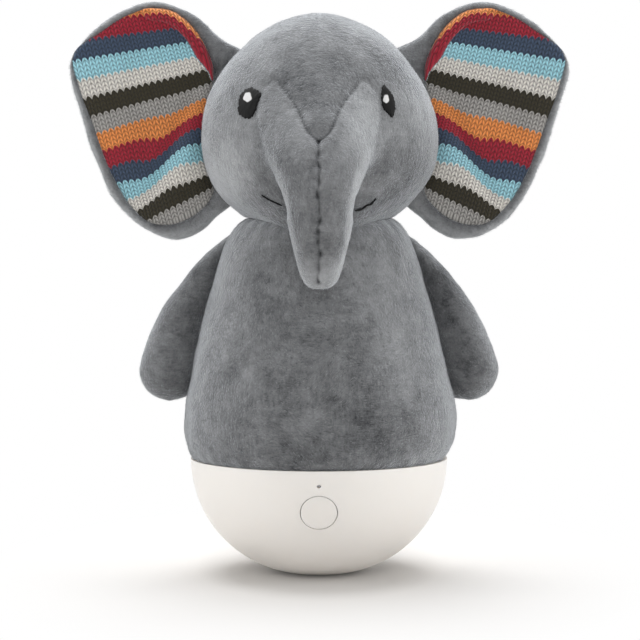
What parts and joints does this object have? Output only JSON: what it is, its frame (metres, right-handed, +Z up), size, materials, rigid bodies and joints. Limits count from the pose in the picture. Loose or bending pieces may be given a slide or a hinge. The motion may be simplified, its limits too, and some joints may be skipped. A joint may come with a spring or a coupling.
{
  "type": "tumbler night light",
  "caption": "Stuffed elephant night light on a weighted, round-bottomed base with a push button and striped knitted ear linings.",
  "frame": {"origin": "middle of the small flat under the base that the lamp rests on", "axes": "+Z up along the base's axis, -Y the way the face and the button look, +X to the right seen from the front"},
  "size_m": [0.1844, 0.1193, 0.2112],
  "materials": {
    "shell_plastic": "satin, translucent white",
    "button_plastic": "satin, translucent white",
    "deck_plastic": "matt",
    "steel": "zinc plated",
    "iron": "as cast",
    "foam_tape": "foam",
    "cell": "foil pouch",
    "red_wire": "insulated wire",
    "grey_wire": "insulated wire",
    "connector_plastic": "moulded",
    "circuit_board": "solder mask",
    "chip": "moulded",
    "led": "phosphor",
    "socket_steel": "plated",
    "switch_plastic": "moulded",
    "capsule": "drawn can",
    "boot_rubber": "matt",
    "lining_cloth": "woven",
    "plush": "short pile",
    "fibre": "loose fibre",
    "knit": "striped knit",
    "black_thread": "satin stitch"
  },
  "bodies": {
    "lamp": {"base_shell": "shell_plastic", "deck": "deck_plastic", "deck_screws": "steel", "ballast": "iron", "ballast_screws": "steel", "battery_tape": "foam_tape", "battery": "cell", "battery_lead": "red_wire", "battery_connector": "connector_plastic", "main_board": "circuit_board", "main_board_screws": "steel", "controller_chip": "chip", "lamp_leds": "led", "charging_socket": "socket_steel", "tactile_switch": "switch_plastic", "button_board": "circuit_board", "button_board_screws": "steel", "switch_lead": "grey_wire", "microphone": "capsule", "microphone_boot": "boot_rubber", "microphone_lead": "grey_wire", "liner_disc": "lining_cloth", "body_cover": "plush", "body_filling": "fibre", "head_cover": "plush", "head_filling": "fibre", "trunk": "plush", "eye_left": "black_thread", "eye_right": "black_thread", "mouth_stitches": "black_thread"},
    "button": {"button_cap": "button_plastic", "switch_plunger": "switch_plastic"},
    "ear_left": {"ear_left_back": "plush", "ear_left_lining": "knit"},
    "ear_right": {"ear_right_back": "plush", "ear_right_lining": "knit"},
    "arm_left": {"arm_left": "plush"},
    "arm_right": {"arm_right": "plush"}
  },
  "joints": [
    {"name": "button_press", "type": "slide", "parent": "lamp", "child": "button", "axis": [0, 0.9343, 0.3566], "range_m": [0, 0.0008], "stiffness_N_per_m": 1500},
    {"name": "ear_left_flap", "type": "hinge", "parent": "lamp", "child": "ear_left", "pos_m": [-0.04177, 0.01, 0.16321], "axis": [-0.1045, 0, -0.9945], "range_deg": [-25, 35], "stiffness_Nm_per_rad": 0.02},
    {"name": "ear_right_flap", "type": "hinge", "parent": "lamp", "child": "ear_right", "pos_m": [0.04177, 0.01, 0.16321], "axis": [-0.1045, 0, 0.9945], "range_deg": [-25, 35], "stiffness_Nm_per_rad": 0.02},
    {"name": "arm_left_lift", "type": "hinge", "parent": "lamp", "child": "arm_left", "pos_m": [-0.03765, 0, 0.1185], "axis": [0, 1, 0], "range_deg": [0, 45]},
    {"name": "arm_right_lift", "type": "hinge", "parent": "lamp", "child": "arm_right", "pos_m": [0.03765, 0, 0.1185], "axis": [0, -1, 0], "range_deg": [0, 45]}
  ]
}
